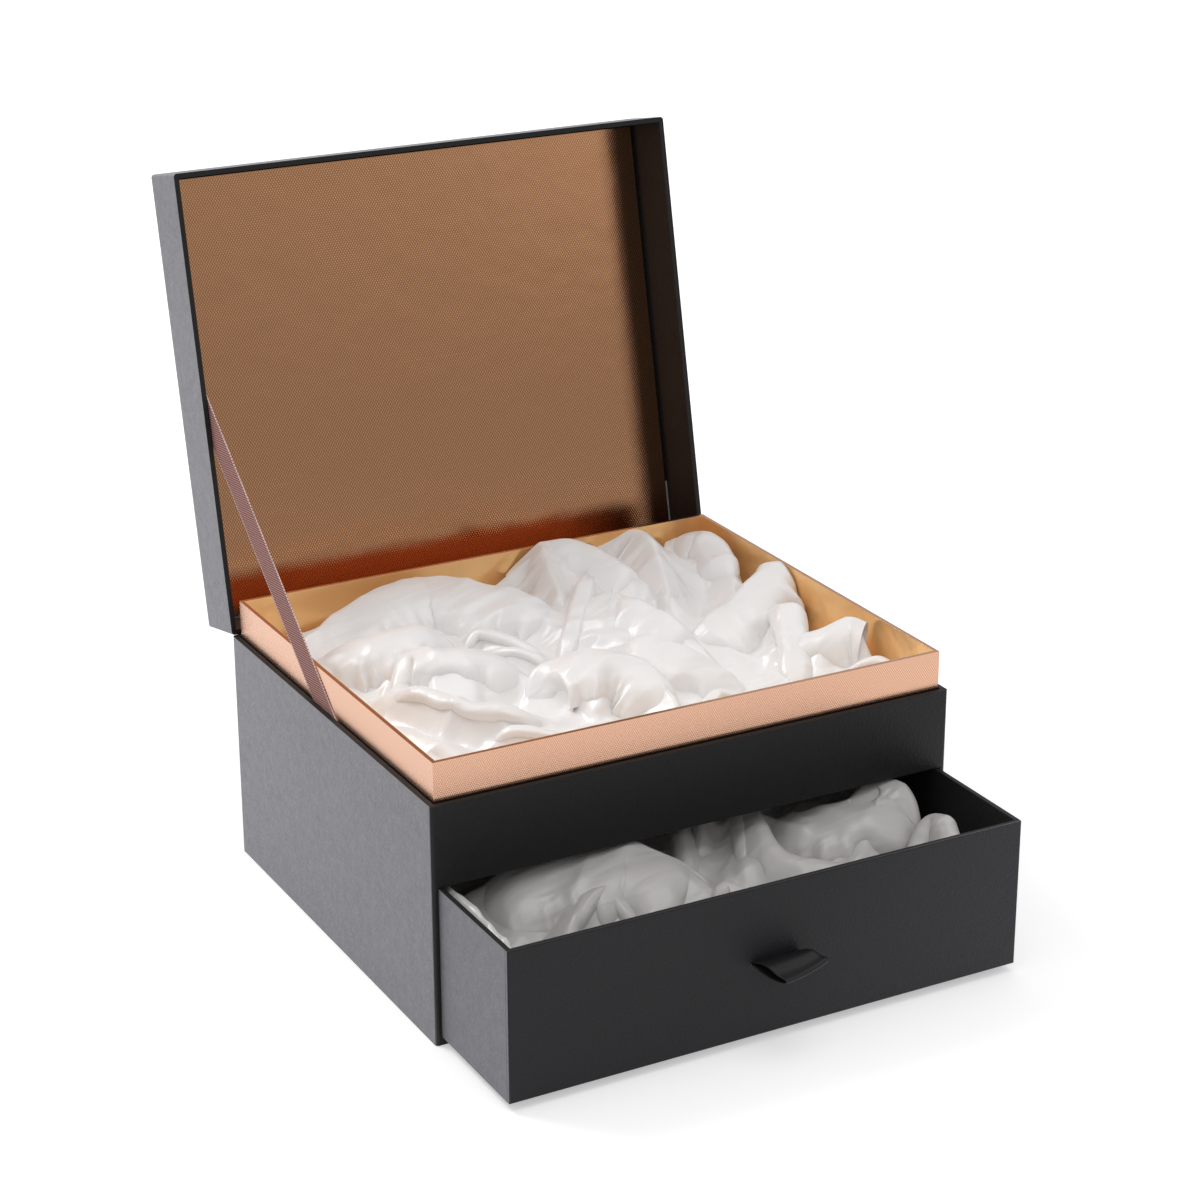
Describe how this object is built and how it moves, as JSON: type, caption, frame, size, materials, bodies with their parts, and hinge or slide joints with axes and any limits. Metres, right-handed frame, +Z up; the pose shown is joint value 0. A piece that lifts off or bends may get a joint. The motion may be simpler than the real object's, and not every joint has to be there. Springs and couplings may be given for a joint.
{
  "type": "sliding drawer gift box",
  "caption": "Rigid presentation box with a hinged tray-top lid held by a ribbon, a foil-lined upper tray with satin and a pull-out lower drawer with satin.",
  "frame": {"origin": "middle of the case's footprint, on the surface the box stands on", "axes": "+X to the right seen from the front, +Y from the drawer front to the lid hinge, +Z up"},
  "size_m": [0.25, 0.3614, 0.3138],
  "materials": {
    "greyboard": "matte",
    "embossed_wrap": "satin",
    "hinge_cloth": "matte",
    "base_paper": "matte",
    "rose_gold_foil": "satin",
    "gold_foil": "gloss",
    "copper_foil_card": "gloss",
    "foam": "matte",
    "white_satin": "satin",
    "grosgrain_ribbon": "satin",
    "black_satin_ribbon": "satin",
    "drawer_paper": "satin",
    "lining_paper": "matte"
  },
  "bodies": {
    "case": {"case_left_board": "greyboard", "case_right_board": "greyboard", "case_back_board": "greyboard", "case_base_board": "greyboard", "case_fascia_board": "greyboard", "case_shelf_board": "greyboard", "case_wrap": "embossed_wrap", "case_base_paper": "base_paper", "hinge_cloth_case_leaf": "hinge_cloth", "tray_left_board": "greyboard", "tray_right_board": "greyboard", "tray_front_board": "greyboard", "tray_back_board": "greyboard", "tray_floor_board": "greyboard", "tray_outer_foil": "rose_gold_foil", "tray_inner_foil": "gold_foil", "tray_foam_pad": "foam", "tray_satin": "white_satin", "stay_ribbon": "grosgrain_ribbon"},
    "lid": {"lid_top_board": "greyboard", "lid_left_board": "greyboard", "lid_right_board": "greyboard", "lid_front_board": "greyboard", "lid_back_board": "greyboard", "lid_wrap": "embossed_wrap", "lid_foil_panel": "copper_foil_card", "hinge_cloth_lid_leaf": "hinge_cloth"},
    "drawer": {"drawer_front_board": "greyboard", "drawer_left_board": "greyboard", "drawer_right_board": "greyboard", "drawer_back_board": "greyboard", "drawer_bottom_board": "greyboard", "drawer_front_wrap": "drawer_paper", "drawer_body_wrap": "drawer_paper", "drawer_lining": "lining_paper", "pull_ribbon": "black_satin_ribbon", "drawer_foam_pad": "foam", "drawer_satin": "white_satin"}
  },
  "joints": [
    {"name": "lid_hinge", "type": "hinge", "parent": "case", "child": "lid", "pos_m": [0, 0.105, 0.1085], "axis": [1, 0, 0], "range_deg": [0, 102], "deforming": ["stay_ribbon"]},
    {"name": "drawer_slide", "type": "slide", "parent": "case", "child": "drawer", "axis": [0, -1, 0], "range_m": [-0.061, 0.109]}
  ]
}
